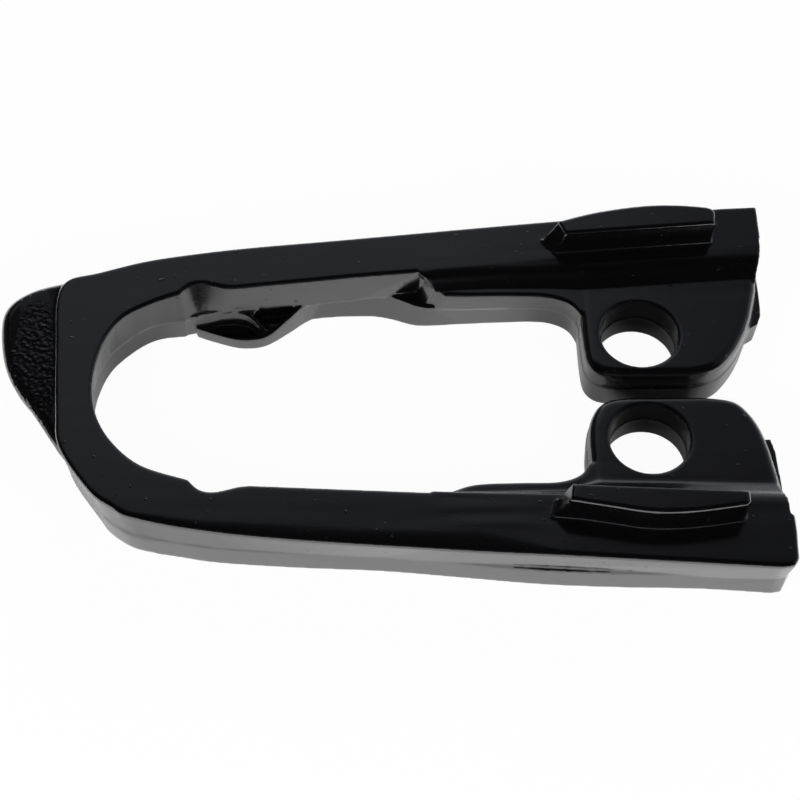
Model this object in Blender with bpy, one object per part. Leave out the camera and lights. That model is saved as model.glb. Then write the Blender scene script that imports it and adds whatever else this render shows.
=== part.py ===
"""Chain slider for a motorcycle swingarm: one moulded piece, lying on its side.

Plan coordinates are millimetres. X runs along the slider, with 0 at the bolt
holes and the closed end of the loop at minus. Y is 0 midway between the holes.
Z is 0 at the far side, which rests on the table.
"""
import math

import bmesh
import bpy
from mathutils import Vector

MM = 0.001

# Heights above the far side
BODY_THICKNESS = 19.3
EAR_THICKNESS = 15.9
PARTING_HEIGHT = 9.3
NOSE_HEIGHT = 17.8
NOSE_SLOPE = 0.12
TONGUE_HEIGHT = 5.2
FIN_HEIGHT = 9.5
FIN_RAMP = 4.5

# Slot: from the ears to the closed end of the loop, and across the loop's mouth
SLOT_LENGTH = 138.1
SLOT_WIDTH = 61.9

# Bolt holes
HOLE_RADIUS = 11.4
HOLE_OFFSET = 17.5
HOLE_CHAMFER = 0.8
HOLE_SEGMENTS = 64

# Rounds, drafts and overlaps
EDGE_ROUND = 0.9
EAR_ROUND = 2.4
LEDGE_ROUND = 0.9
NOSE_ROUND = 3.6
FIN_ROUND = 0.8
FAR_ROUND = 0.6
OUTER_DRAFT = 0.9
FAR_DRAFT = 0.35
LEDGE_STEP = 0.1
OVERLAP = 0.6
HAIR = 0.03

# Between these the legs lengthen with the slot, and past the second the loop and nose move with it
STRETCH_START = -31.0
STRETCH_END = -109.4

# Outer outline of legs and loop, from the upper leg's end round to the lower leg's end
OUTER_UPPER = [(38.0, 61.0), (27, 60.5), (-27, 55.9), (-83, 50.3), (-112, 47.5), (-130, 45.1), (-143, 42.7),
               (-156, 38.8)]
OUTER_LOOP = [(-164.5, 36.2), (-167.2, 29), (-166.2, 13), (-164.2, -9), (-162.2, -20.5), (-153.2, -34)]
OUTER_LOWER = [(-146.6, -39.4), (-141, -42.6), (-122, -46.8), (-95.7, -50), (-56, -53.2), (31, -59.6)]
LOWER_END = [(34.2, -59.1), (35.6, -57.0), (36.1, -49)]
FAR_OUTER_LOWER = [(-146.4, -39.7), (-140.7, -42.8), (-129.6, -45), (-118.5, -46.9), (-96.6, -48.7),
                   (-74.7, -49.9), (-53, -52.1), (-31.3, -54.4), (-9.6, -55.6), (12.1, -56.3), (30.9, -57.8)]
FAR_LOWER_END = [(33.6, -57.4), (34.9, -55), (35.2, -49)]

# Inner outline of the near half, from the lower leg's end round to the upper leg's end
INNER_LOWER = [(36.1, -43.5), (-23.6, -40.4), (-56.5, -39.0), (-57.2, -36.0), (-109.4, -33.1)]
SCALLOP_LOWER = [(-109.4, -33.1), (-112.6, -33.4), (-119, -34.9), (-123.2, -34.1), (-126.4, -31.0)]
LOOP_INNER = [(-126.4, -31.0), (-139.4, -26.3), (-148, -18.5), (-153, -9.4), (-154.6, 1), (-152.9, 12.6),
              (-148, 22.1), (-140.1, 27.4), (-131.8, 30.9)]
SCALLOP_UPPER = [(-131.8, 30.9), (-129, 33.6), (-125, 34.3), (-118, 32.6), (-112, 33.0)]
INNER_UPPER = [(-82.8, 36.1), (-62.0, 37.9), (-61.2, 41), (-24.5, 45.2), (37.9, 49.2)]

# Inner outline of the far half
FAR_LOOP = [(-126.4, -31.0), (-139.4, -26.3), (-148.8, -18.5), (-154.4, -9.4), (-156.5, 1), (-155.4, 9.5),
            (-152.1, 17.3), (-145.4, 24.2), (-139.3, 27.6), (-131.5, 28.6)]
FAR_LOWER = [(-60.5, -31.9), (-66, -33.9), (-83, -34.2), (-109.4, -32.9), (-126.4, -31)]
FAR_UPPER = [(-131.5, 28.6), (-126.5, 28.6), (-118, 31.2), (-106, 33.6), (-92, 34.8), (-78, 35.3),
             (-71.5, 34.3), (-65, 32.1), (-60.5, 31.6)]
FAR_LEDGE = [(-50, 32.2), (-31, 32.8), (-23.7, 32.0), (-18.8, 29.2), (-16.5, 24.8)]

# Ledges between the legs and the ears in the near half
LEDGE_UPPER = [(-57.8, 31.8), (-50, 31.6), (-36, 31.6), (-26, 31.0), (-19.8, 28.8), (-16.5, 24.8)]
LEDGE_UPPER_BACK = [(-11, 24.8), (-11, 46), (-64.6, 46), (-64.6, 39.0)]
LEDGE_LOWER = [(-16.9, -24.8), (-20, -28.8), (-26, -30.9), (-36, -31.0), (-46, -31.2), (-51.5, -32.2),
               (-58.6, -35.2)]
LEDGE_LOWER_BACK = [(-58.6, -45), (-11, -45), (-11, -24.8)]

# Ears, whose free sides face each other
EAR_UPPER = [(-16.5, 24.8), (-16.3, 14), (-15.4, 7.7), (-12.2, 4.4), (-7, 3.4)]
EAR_UPPER_END = [(13.5, 3.4), (21, 5.5), (26.4, 11), (30.3, 17.5), (32.8, 23.6)]
EAR_LOWER = [(-5, -3.4), (-10.5, -4.3), (-14.2, -7.4), (-16.6, -14), (-16.9, -24.8)]
EAR_LOWER_END = [(33.0, -21.5), (31.4, -14.8), (28.8, -9.2), (24.5, -4.9), (16, -3.4)]
EAR_UPPER_BACK = [(35.4, 33.5), (36.6, 53), (-16.5, 53)]
EAR_LOWER_BACK = [(-16.9, -50), (34.6, -50), (34.6, -32.5)]
LUG_UPPER = [(35.6, 25.4), (36.8, 28.5), (37.1, 37)]
LUG_LOWER = [(35.8, -30), (35.4, -18.5), (34.5, -14.4)]

# Shoulders, which fall from the near side to the ears: place and relative width along each, then the fall
CREASE_UPPER = [(-62.8, 37.8, 0.02), (-57.6, 38.5, 0.5), (-42, 40.3, 0.62), (-24.5, 42.2, 0.84),
                (-12, 43.1, 1.0), (37.6, 46.2, 1.0)]
CREASE_LOWER = [(-58.0, -36.0, 0.02), (-51, -36.3, 0.28), (-23.6, -37.4, 0.42), (-15, -37.9, 0.9),
                (35.2, -40.4, 1.0)]
FALL_UPPER = [(0.0, 0.0), (4.4, 0.5), (7.0, 2.2), (9.2, 3.3), (10.6, 3.7)]
FALL_LOWER = [(0.0, 0.0), (2.4, 0.5), (5.0, 1.9), (7.4, 3.1), (9.4, 3.7)]
SHOULDER_SKEW = 0.2
SHOULDER_BACK = 5.0

# Fins: straight inner side, bowed outer side
FIN_UPPER = [(23.4, 51.6), (20.5, 53.5), (6, 54.4), (-10, 52.2), (-22.6, 48.6)]
FIN_UPPER_INNER = [(-20.6, 43.9), (23.0, 47.2)]
FIN_LOWER = [(-24.6, -44.0), (-14, -46.0), (-3, -47.9), (8, -47.8), (21.8, -46.0)]
FIN_LOWER_INNER = [(22.8, -45.0), (22.8, -41.6), (-23.8, -39.0)]

# Nose past the closed end, the tongue of the far half, its pocket and its ridge
NOSE = [(-141, 40.4), (-158, 38.4), (-168, 37.4), (-175.4, 35.4), (-181, 31), (-183, 24.5), (-181.9, 13.5),
        (-178.4, 4.2), (-171.4, -5.8), (-163.9, -17.4)]
NOSE_ROOT = [(-156, -24), (-151, -21), (-157.5, -5), (-157.5, 10), (-152, 22), (-141, 31)]
TONGUE = [(-128.4, 28.5), (-122.5, 26.2), (-115, 24.1), (-108, 24.9), (-101, 29.6), (-96.5, 33.2),
          (-91.5, 36.0)]
TONGUE_BACK = [(-91.5, 38), (-128.4, 38)]
ROOT_SPAN = (-126.8, -114.5)
ROOT_SECTION = [(36, 2), (36, 8.4), (33.4, 7.6), (30.6, TONGUE_HEIGHT + HAIR), (30.6, 2)]
RECESS = [(-127.4, 25), (-112, 25), (-110, 33.3), (-117, 33.4), (-124.6, 34.4), (-127.0, 31.8)]
POCKET = [(-125, 30.2), (-119, 26.4), (-115.3, 25.4), (-109.8, 25.5), (-113, 28.0), (-119, 30.8)]
RIDGE = [(-119, 34.8), (-114.6, 32.4), (-111.0, 29.2), (-108.4, 25.8)]
RIDGE_HEIGHT = 1.6
RIDGE_WIDTH = 1.8
POCKET_DEPTH = 2.4
NOSE_LEAN = 2.4
NOSE_LEAN_RUN = 14.0

RUBBER_COLOUR = (0.012, 0.012, 0.013, 1.0)
RUBBER_ROUGHNESS = 0.28


def clear_scene():
    """Removes every object, so that the script starts from nothing."""
    for obj in list(bpy.data.objects):
        bpy.data.objects.remove(obj, do_unlink=True)


def curve(points, steps=4):
    """Points along a smooth curve through the given points, both ends included."""
    ends = [points[0], *points, points[-1]]
    result = []
    for a, b, c, d in zip(ends, ends[1:], ends[2:], ends[3:]):
        for step in range(steps):
            t = step / steps
            weights = (-t + 2 * t**2 - t**3, 2 - 5 * t**2 + 3 * t**3, t + 4 * t**2 - 3 * t**3, t**3 - t**2)
            nearby = list(zip(weights, (a, b, c, d)))
            result.append(tuple(sum(weight * point[axis] for weight, point in nearby) / 2 for axis in (0, 1)))
    result.append(points[-1])
    return result


def joined(*paths):
    """One closed outline from paths that follow on, without repeated points."""
    outline = []
    for point in (point for path in paths for point in path):
        if not outline or math.dist(point, outline[-1]) > 0.05:
            outline.append(point)
    return outline


def inset(outline, distance):
    """The counter-clockwise outline moved inwards by one distance, or by one for each point."""
    distances = distance if isinstance(distance, list) else [distance] * len(outline)
    moved = []
    for i, (point, distance) in enumerate(zip(outline, distances)):
        corner = Vector(point)
        before = corner - Vector(outline[i - 1])
        after = Vector(outline[(i + 1) % len(outline)]) - corner
        mitre = Vector((-before.y, before.x)).normalized() + Vector((-after.y, after.x)).normalized()
        moved.append(tuple(corner + mitre * distance * 2 / max(mitre.length_squared, 1.0)))
    return moved


def rounded_top(top, radius, steps=3):
    """Heights and insets of a quarter round that ends at the given height."""
    angles = [math.pi / 2 * step / steps for step in range(steps + 1)]
    return [(top - radius * (1 - math.sin(a)), radius * (1 - math.cos(a))) for a in angles]


def rounded_foot(radius, steps=2):
    """Heights and insets of a quarter round that starts at the far side."""
    return [(radius - z, distance) for z, distance in reversed(rounded_top(radius, radius, steps))]


def placed(x, y, z):
    """A point of the drawn outlines, moved to where the slot's length and width put it."""
    longer = SLOT_LENGTH - (EAR_UPPER[0][0] - min(point[0] for point in LOOP_INNER))
    wider = (SLOT_WIDTH - (LOOP_INNER[-1][1] - LOOP_INNER[0][1])) / 2
    along = (STRETCH_START - x) / (STRETCH_START - STRETCH_END)
    past_hole = HOLE_OFFSET + HOLE_RADIUS + 2 * HOLE_CHAMFER
    kept = past_hole if x > STRETCH_START else 0.0
    across = (abs(y) - kept) / max(LOOP_INNER[-1][1] - kept, 1.0)
    return (x - longer * min(max(along, 0.0), 1.0),
            y + math.copysign(wider * min(max(across, 0.0), 1.0), y),
            z)


def new_object(name, bm):
    """Turns a bmesh in millimetres into an object in metres."""
    bmesh.ops.recalc_face_normals(bm, faces=bm.faces)
    bmesh.ops.scale(bm, vec=(MM, MM, MM), verts=bm.verts)
    mesh = bpy.data.meshes.new(name)
    bm.to_mesh(mesh)
    bm.free()
    obj = bpy.data.objects.new(name, mesh)
    bpy.context.scene.collection.objects.link(obj)
    return obj


def bridged(name, rings):
    """A closed solid through rings of equal length, capped at both ends."""
    bm = bmesh.new()
    rows = [[bm.verts.new(placed(*point)) for point in ring] for ring in rings]
    for low, high in zip(rows, rows[1:]):
        for i, corner in enumerate(low):
            bm.faces.new((low[i - 1], corner, high[i], high[i - 1]))
    bm.faces.new(rows[0])
    bm.faces.new(rows[-1])
    bmesh.ops.connect_verts_nonplanar(bm, angle_limit=0.001, faces=bm.faces)
    return new_object(name, bm)


def stack(name, outline, levels):
    """A solid whose outline is moved inwards by the given distance at each height."""
    return bridged(name, [[(x, y, z) for x, y in inset(outline, distance)] for z, distance in levels])


def combine(target, tool, operation):
    """Applies a Boolean of the tool to the target and removes the tool."""
    modifier = target.modifiers.new(operation.lower(), "BOOLEAN")
    modifier.operation = operation
    modifier.solver = "EXACT"
    modifier.object = tool
    bpy.context.view_layer.objects.active = target
    bpy.ops.object.modifier_apply(modifier=modifier.name)
    bpy.data.objects.remove(tool, do_unlink=True)


def near_outline():
    """The near half's closed outline, and how many of its points are on the outer side."""
    outer = [OUTER_UPPER[0], *curve([*OUTER_UPPER[1:], *OUTER_LOOP, *OUTER_LOWER[:-1]], 3), OUTER_LOWER[-1]]
    scallops = curve(SCALLOP_LOWER, 3), curve(SCALLOP_UPPER, 3)
    inner = joined(INNER_LOWER, scallops[0], curve(LOOP_INNER), scallops[1], INNER_UPPER)
    return [*outer, *LOWER_END, *inner], len(outer) + len(LOWER_END)


def near_half():
    """Legs and loop above the parting plane, whose outer walls lean in towards it."""
    outline, outer_count = near_outline()
    lean = [OUTER_DRAFT] * outer_count + [0.0] * (len(outline) - outer_count)
    levels = [(PARTING_HEIGHT - OVERLAP, lean), *rounded_top(BODY_THICKNESS, EDGE_ROUND)]
    return stack("chain_slider", outline, levels)


def far_half():
    """Legs, loop and ears below the parting plane, where every wall leans out towards it."""
    near, _ = near_outline()
    outer_upper = inset(near, OUTER_DRAFT + FAR_DRAFT)[:3 * (len(OUTER_UPPER) + len(OUTER_LOOP) - 2)]
    lower_ledge = [(x, -y) for x, y in reversed(FAR_LEDGE)]
    lower_end = [*FAR_LOWER_END, *LUG_LOWER, *curve(EAR_LOWER_END[1:])]
    inner = joined(curve(EAR_LOWER), curve(lower_ledge), FAR_LOWER, curve(FAR_LOOP), curve(FAR_UPPER), curve(FAR_LEDGE))
    upper_end = [*curve(EAR_UPPER), *curve(EAR_UPPER_END), *LUG_UPPER]
    outline = joined(outer_upper, curve(FAR_OUTER_LOWER, 2), lower_end, inner, upper_end)
    return stack("far_half", outline, [*rounded_foot(FAR_ROUND), (PARTING_HEIGHT, -FAR_DRAFT)])


def near_block(name, outline, height, radius):
    """An ear or a ledge above the parting plane."""
    return stack(name, outline, [(PARTING_HEIGHT - OVERLAP, 0.0), *rounded_top(height, radius)])


def shoulder(name, crease, fall, side):
    """The slope between a leg's near side and its ear; side is 1 for the upper leg and -1 for the lower."""
    top = BODY_THICKNESS - HAIR
    rings = []
    for x, y, width in crease:
        inner = [(-side * offset * width, top - drop) for offset, drop in fall]
        back = SHOULDER_BACK * side
        profile = [(back, PARTING_HEIGHT), (back, top), *inner, (inner[-1][0], PARTING_HEIGHT)]
        skew = SHOULDER_SKEW if x > 0 else 0.0
        rings.append([(x - skew * max(-side * dy, 0), y + dy, z) for dy, z in profile])
    return bridged(name, rings)


def fin(name, outer, inner):
    """A fin on a leg's near side, whose left end is a ramp."""
    outline = [*curve(outer, 3), *inner]
    top = BODY_THICKNESS + FIN_HEIGHT
    left = min(x for x, _ in outline)
    foot = [(x - FIN_RAMP * (x < left + FIN_RAMP), y, BODY_THICKNESS - OVERLAP) for x, y in outline]
    rings = [[(x, y, z) for x, y in inset(outline, distance)] for z, distance in rounded_top(top, FIN_ROUND, 2)]
    return bridged(name, [foot, *rings])


def nose():
    """The lobe past the loop's closed end, whose top falls away from the loop."""
    rim = curve(NOSE, 3)
    lean = [NOSE_LEAN * min(max(1 - y / NOSE_LEAN_RUN, 0), 1) for _, y in rim] + [0.0] * len(NOSE_ROOT)
    foot = [(z, [distance + more for more in lean]) for z, distance in rounded_foot(FAR_ROUND)]
    solid = stack("nose", [*rim, *NOSE_ROOT], [*foot, *rounded_top(NOSE_HEIGHT, NOSE_ROUND, 5)])
    loop_end = placed(*OUTER_LOOP[0], 0)[0]
    for vert in solid.data.vertices:
        past_loop = max(0.0, loop_end * MM - vert.co.x)
        vert.co.z -= NOSE_SLOPE * past_loop * vert.co.z / (NOSE_HEIGHT * MM)
    return solid


def tongue():
    """The far half's tongue on the upper leg, with its sloped root and curved ridge."""
    outline = [*curve(TONGUE, 3), *TONGUE_BACK]
    solid = stack("tongue", outline, [*rounded_foot(FAR_ROUND), *rounded_top(TONGUE_HEIGHT, 0.5, 2)])
    root = bridged("root", [[(x, y, z) for y, z in ROOT_SECTION] for x in ROOT_SPAN])
    combine(solid, root, "UNION")
    return solid


def ridge():
    """A low curved rib from the leg's wall to the tip of the tongue."""
    path = curve(RIDGE, 3)
    rings = []
    for i, (x, y) in enumerate(path):
        low, high = path[max(i - 1, 0)], path[min(i + 1, len(path) - 1)]
        along = Vector((high[0] - low[0], high[1] - low[1])).normalized()
        side = Vector((-along.y, along.x)) * RIDGE_WIDTH / 2
        crest = TONGUE_HEIGHT + RIDGE_HEIGHT * (1 - 0.5 * i / (len(path) - 1))
        rings.append([
            (x - 1.6 * side.x, y - 1.6 * side.y, 3), (x + 1.6 * side.x, y + 1.6 * side.y, 3),
            (x + side.x / 2, y + side.y / 2, crest), (x - side.x / 2, y - side.y / 2, crest)])
    return bridged("ridge", rings)


def bolt_hole(y):
    """The cutter for one bolt hole, wider at both rims."""
    rim = EAR_THICKNESS - HOLE_CHAMFER
    profile = [(-HOLE_CHAMFER, HOLE_RADIUS + HOLE_CHAMFER), (HOLE_CHAMFER / 2, HOLE_RADIUS), (rim, HOLE_RADIUS),
               (EAR_THICKNESS - HOLE_CHAMFER / 3, HOLE_RADIUS + HOLE_CHAMFER / 3),
               (EAR_THICKNESS + HOLE_CHAMFER, HOLE_RADIUS + 2 * HOLE_CHAMFER)]
    turns = [2 * math.pi * i / HOLE_SEGMENTS for i in range(HOLE_SEGMENTS)]
    rings = [[(radius * math.cos(a), y + radius * math.sin(a), z) for a in turns] for z, radius in profile]
    return bridged("bolt_hole", rings)


def rubber():
    """The moulded black plastic's viewport and render material."""
    material = bpy.data.materials.new("black_urethane")
    material.use_nodes = True
    shader = material.node_tree.nodes["Principled BSDF"]
    shader.inputs["Base Color"].default_value = RUBBER_COLOUR
    shader.inputs["Roughness"].default_value = RUBBER_ROUGHNESS
    shader.inputs["Metallic"].default_value = 0.0
    return material


def centre(obj):
    """Moves the mesh so that its box is centred on the origin in plan."""
    xs = [vert.co.x for vert in obj.data.vertices]
    ys = [vert.co.y for vert in obj.data.vertices]
    middle = Vector(((min(xs) + max(xs)) / 2, (min(ys) + max(ys)) / 2, 0))
    for vert in obj.data.vertices:
        vert.co -= middle


clear_scene()
slider = near_half()
combine(slider, far_half(), "UNION")
near_ears = [
    joined(curve(EAR_UPPER), curve(EAR_UPPER_END), EAR_UPPER_BACK),
    joined(EAR_LOWER_BACK, curve(EAR_LOWER_END), curve(EAR_LOWER))]
ledges = [joined(curve(LEDGE_UPPER), LEDGE_UPPER_BACK), joined(curve(LEDGE_LOWER), LEDGE_LOWER_BACK)]
for outline in near_ears:
    combine(slider, near_block("ear", outline, EAR_THICKNESS, EAR_ROUND), "UNION")
for outline in ledges:
    combine(slider, near_block("ledge", outline, EAR_THICKNESS - LEDGE_STEP, LEDGE_ROUND), "UNION")
combine(slider, shoulder("upper_shoulder", CREASE_UPPER, FALL_UPPER, 1), "UNION")
combine(slider, shoulder("lower_shoulder", CREASE_LOWER, FALL_LOWER, -1), "UNION")
combine(slider, nose(), "UNION")
combine(slider, fin("upper_fin", FIN_UPPER, FIN_UPPER_INNER), "UNION")
combine(slider, fin("lower_fin", FIN_LOWER, FIN_LOWER_INNER), "UNION")
combine(slider, stack("recess", RECESS, [(TONGUE_HEIGHT, 0.0), (BODY_THICKNESS + 1, 0.0)]), "DIFFERENCE")
combine(slider, tongue(), "UNION")
combine(slider, ridge(), "UNION")
combine(slider, stack("pocket", curve(POCKET + POCKET[:1], 3)[:-1], [
    (TONGUE_HEIGHT - POCKET_DEPTH, 0.4), (TONGUE_HEIGHT + 4, -0.4)]), "DIFFERENCE")
for side in (1, -1):
    combine(slider, bolt_hole(side * HOLE_OFFSET), "DIFFERENCE")
centre(slider)
slider.data.materials.clear()
slider.data.materials.append(rubber())
slider.data.shade_smooth()
slider.data.set_sharp_from_angle(angle=math.radians(32))
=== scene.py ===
# Chain slider: a one-piece moulded guard for a motorcycle's swingarm, lying on its far side.
# Outlines are in millimetres from the point midway between the bolt holes; heights are above the far side.
import math

import bpy
from mathutils import Matrix, Vector, noise


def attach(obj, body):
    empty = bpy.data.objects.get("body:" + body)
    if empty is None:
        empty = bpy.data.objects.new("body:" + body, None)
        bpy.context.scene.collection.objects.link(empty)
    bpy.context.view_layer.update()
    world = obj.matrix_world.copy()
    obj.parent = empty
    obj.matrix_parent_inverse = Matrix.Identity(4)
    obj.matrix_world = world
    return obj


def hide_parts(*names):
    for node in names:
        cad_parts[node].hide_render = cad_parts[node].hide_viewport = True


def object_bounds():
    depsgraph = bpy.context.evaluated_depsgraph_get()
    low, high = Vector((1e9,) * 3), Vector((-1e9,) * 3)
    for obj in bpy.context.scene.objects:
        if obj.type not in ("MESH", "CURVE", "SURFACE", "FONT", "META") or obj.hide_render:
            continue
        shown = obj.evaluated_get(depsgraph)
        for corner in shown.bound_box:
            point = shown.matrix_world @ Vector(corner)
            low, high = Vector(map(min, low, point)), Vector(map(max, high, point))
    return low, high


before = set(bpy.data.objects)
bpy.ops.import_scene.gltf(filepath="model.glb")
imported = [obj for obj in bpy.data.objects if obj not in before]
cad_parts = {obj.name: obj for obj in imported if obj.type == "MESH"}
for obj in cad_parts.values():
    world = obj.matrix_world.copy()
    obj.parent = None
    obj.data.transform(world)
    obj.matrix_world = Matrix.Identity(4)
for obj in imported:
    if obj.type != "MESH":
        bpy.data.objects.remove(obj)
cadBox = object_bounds()
mm = 0.001
planToRow = Vector((72.5, -0.7, 0)) * mm    # from midway between the holes to the middle of the part's box
sortFrom = (0.31, 0.17, 0.53)    # no two faces are equally far from here
tolerance = {
    "weld": 0.05, "merge": 0.02,    # mm between points that count as one, in an outline and in its mesh
    "straight": 0.05,    # degrees that a straight line may turn at a point
    "cap": 0.9, "level": 0.99, "wall": 0.98,    # a normal's upright part: more for level faces, less for walls
    "bent": 0.002,    # radians that a flat face may bend
    "end": 0.1,    # mm, what still counts as a shoulder's end
}

# What a user would change: sizes of the moulding, in millimetres
moulding = {
    "bodyTop": 19.3, "earTop": 15.9, "parting": 9.3, "noseTop": 19.25, "tongueTop": 5.2,
    "edgeRound": 0.9, "earRound": 2.4, "ledgeRound": 0.9, "noseRound": 2.4, "finRound": 0.8, "farRound": 0.6,
    "tongueRound": 0.5,
    "outerDraft": 0.9, "farDraft": 0.35,
    "partingStep": 0.12, "wallBlend": 5,    # the near half's step over the far half, and the way it takes to begin
    "overlap": 0.6,    # how deep one solid reaches into the next
    "shoulderBack": 13.0, "shoulderDrop": 0.03, "ledgeDrop": 0.1, "startSlant": 1.6, "startLean": 0.45,
    "endSlant": 0.2,
    "finRise": 9.5, "finRamp": 4.5, "finRampRun": 5,
    "noseLean": 2.4, "noseLeanRun": 14.0, "noseSlope": 0.16, "noseSlopeFrom": -164.5, "noseCrest": 25.0,
    "noseFall": 0.15, "noseBackFall": 0.012,
    "rimRise": 4.0, "rimFrom": -107.0, "rimRun": 9.0,
    "pocketDepth": 2.4, "pocketOpen": 1.5, "hollowDepth": 0.8, "hollowOpen": 1.2,
    "benchFoot": 3.0, "benchLean": 2.1, "ridgeFront": 1.3, "ridgeBack": 0.2,
    "holeRadius": 11.4, "holeOffset": 17.5, "holeChamfer": 0.35, "boreRing": 10.75, "boreRingAt": 8.4,
    "boreFlare": 0.6, "boreFlareTop": 0.5, "boreTaper": 0.2, "borePast": 1, "boreFacets": 128,
    "ringFoot": 0.9, "ringUnder": 0.6, "ringOver": 0.5, "ringStep": 0.25,    # the ring's slopes, from boreRingAt
    "crownFall": 0.09, "crownFrom": 12, "crownRun": 6,
    "outlineSteps": 6, "voxel": 0.4, "smoothShare": 0.5, "smoothing": 4, "softening": 30, "triangles": 190000,
}

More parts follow.
